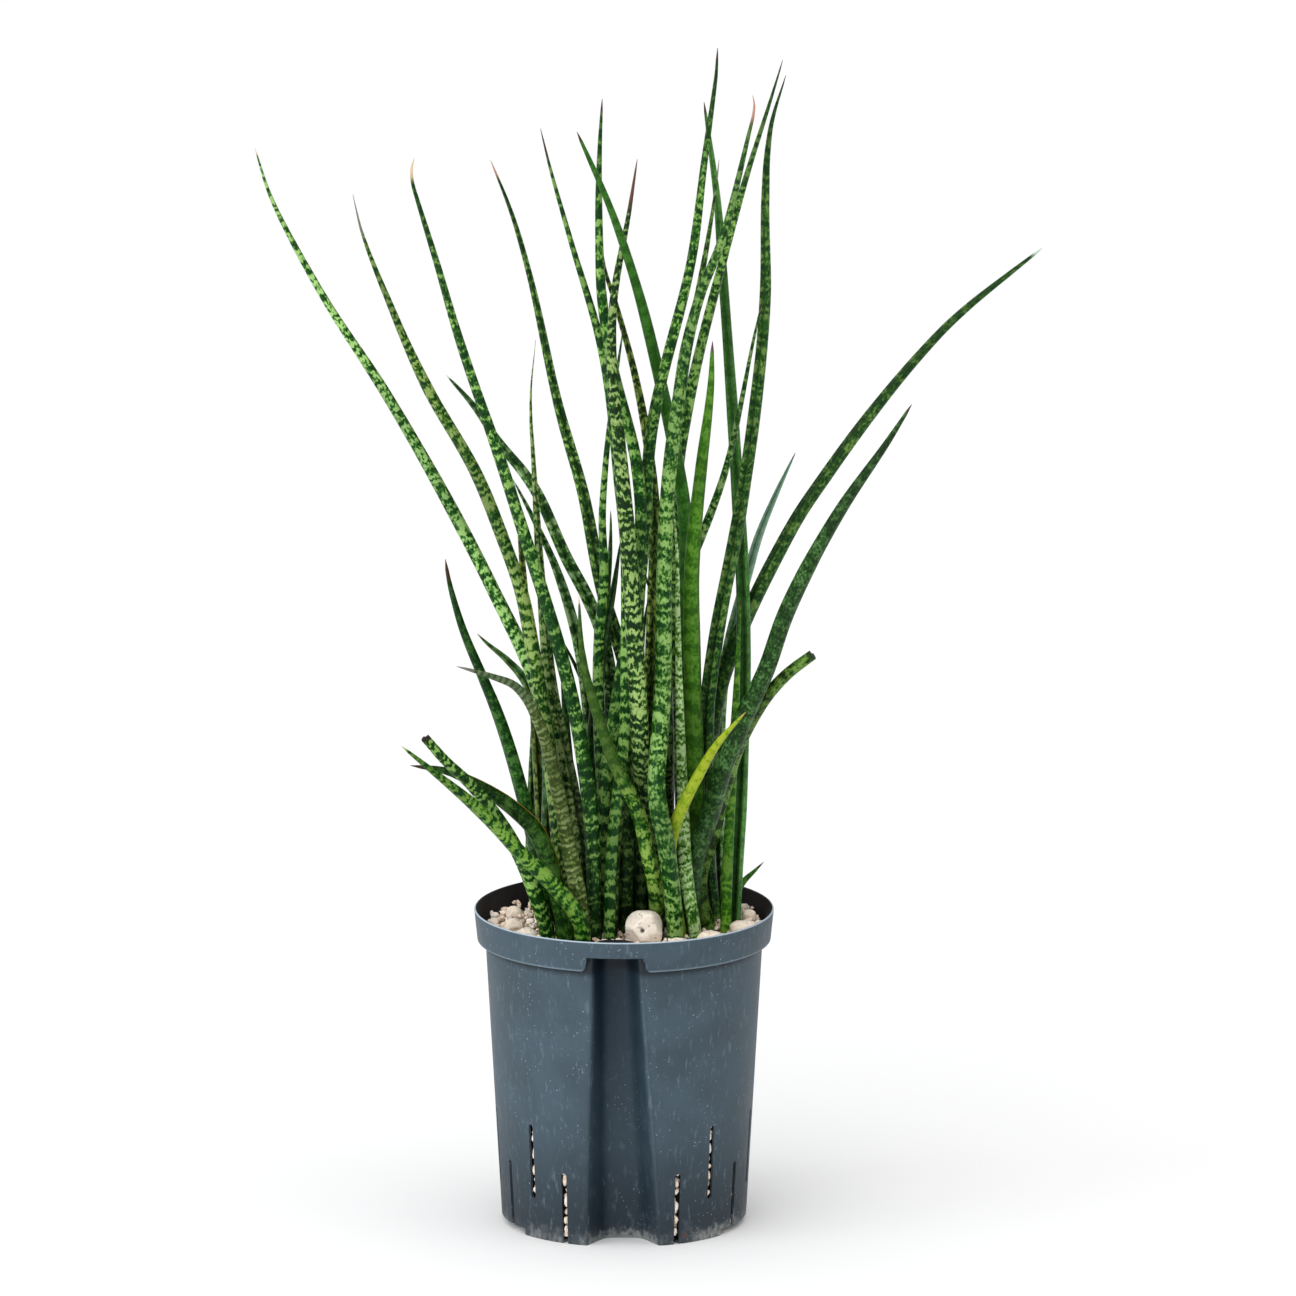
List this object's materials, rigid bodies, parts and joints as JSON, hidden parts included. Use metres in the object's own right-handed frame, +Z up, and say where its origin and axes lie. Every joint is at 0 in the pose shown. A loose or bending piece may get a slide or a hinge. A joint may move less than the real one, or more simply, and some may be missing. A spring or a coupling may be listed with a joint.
{
  "type": "potted fernwood snake plant",
  "caption": "Clump of tall, slender, channelled leaves, mottled green, standing in pumice in a tapered dark nursery pot with a rim band, a gauge channel and drain slots.",
  "frame": {"origin": "centre of the pot's foot, on the surface that it stands on", "axes": "+Z up along the pot's axis, -Y towards the front, where the gauge channel is, +X to the right as seen from the front"},
  "size_m": [0.472, 0.2, 0.7239],
  "materials": {
    "leaf_blue": "waxy leaf, bluish green",
    "leaf_bright": "waxy leaf, bright green",
    "leaf_dark": "waxy leaf, dark green",
    "leaf_lime": "waxy leaf, yellow-green with dark patches",
    "leaf_mottled": "waxy leaf, dark green with pale broken bands",
    "leaf_olive": "waxy leaf, olive green",
    "leaf_pale": "waxy leaf, pale grey-green",
    "pot": "dark slate-blue injection-moulded polypropylene, satin, lightly scuffed",
    "pumice_stone": "porous pumice, dull, pale cream",
    "rhizome": "fibrous rootstock with orange-brown roots",
    "substrate": "porous pumice granules, dull, cream to pinkish tan"
  },
  "bodies": {
    "root": {"back_leaf_1": "leaf_bright", "back_leaf_2": "leaf_dark", "back_leaf_3": "leaf_mottled", "back_leaf_4": "leaf_mottled", "back_leaf_5": "leaf_olive", "back_leaf_6": "leaf_dark", "back_leaf_7": "leaf_dark", "back_leaf_8": "leaf_dark", "back_leaf_9": "leaf_dark", "centre_leaf_1": "leaf_mottled", "centre_leaf_2": "leaf_olive", "centre_leaf_3": "leaf_pale", "centre_leaf_4": "leaf_olive", "centre_leaf_5": "leaf_dark", "centre_leaf_6": "leaf_mottled", "centre_leaf_7": "leaf_mottled", "centre_leaf_8": "leaf_dark", "centre_leaf_9": "leaf_blue", "front_leaf_1": "leaf_bright", "front_leaf_10": "leaf_pale", "front_leaf_2": "leaf_mottled", "front_leaf_3": "leaf_olive", "front_leaf_4": "leaf_mottled", "front_leaf_5": "leaf_mottled", "front_leaf_6": "leaf_dark", "front_leaf_7": "leaf_mottled", "front_leaf_8": "leaf_dark", "front_leaf_9": "leaf_dark", "left_leaf_1": "leaf_mottled", "left_leaf_2": "leaf_mottled", "left_leaf_3": "leaf_dark", "left_leaf_4": "leaf_mottled", "left_leaf_5": "leaf_lime", "left_leaf_6": "leaf_blue", "left_leaf_7": "leaf_olive", "left_leaf_8": "leaf_dark", "pot": "pot", "rhizome": "rhizome", "right_leaf_1": "leaf_mottled", "right_leaf_10": "leaf_mottled", "right_leaf_11": "leaf_pale", "right_leaf_2": "leaf_pale", "right_leaf_3": "leaf_lime", "right_leaf_4": "leaf_blue", "right_leaf_5": "leaf_dark", "right_leaf_6": "leaf_bright", "right_leaf_7": "leaf_mottled", "right_leaf_8": "leaf_bright", "right_leaf_9": "leaf_blue", "stone_1": "pumice_stone", "stone_2": "pumice_stone", "stone_3": "pumice_stone", "stone_4": "pumice_stone", "stone_5": "pumice_stone", "stone_6": "pumice_stone", "stone_7": "pumice_stone", "stone_8": "pumice_stone", "substrate": "substrate"}
  },
  "joints": []
}
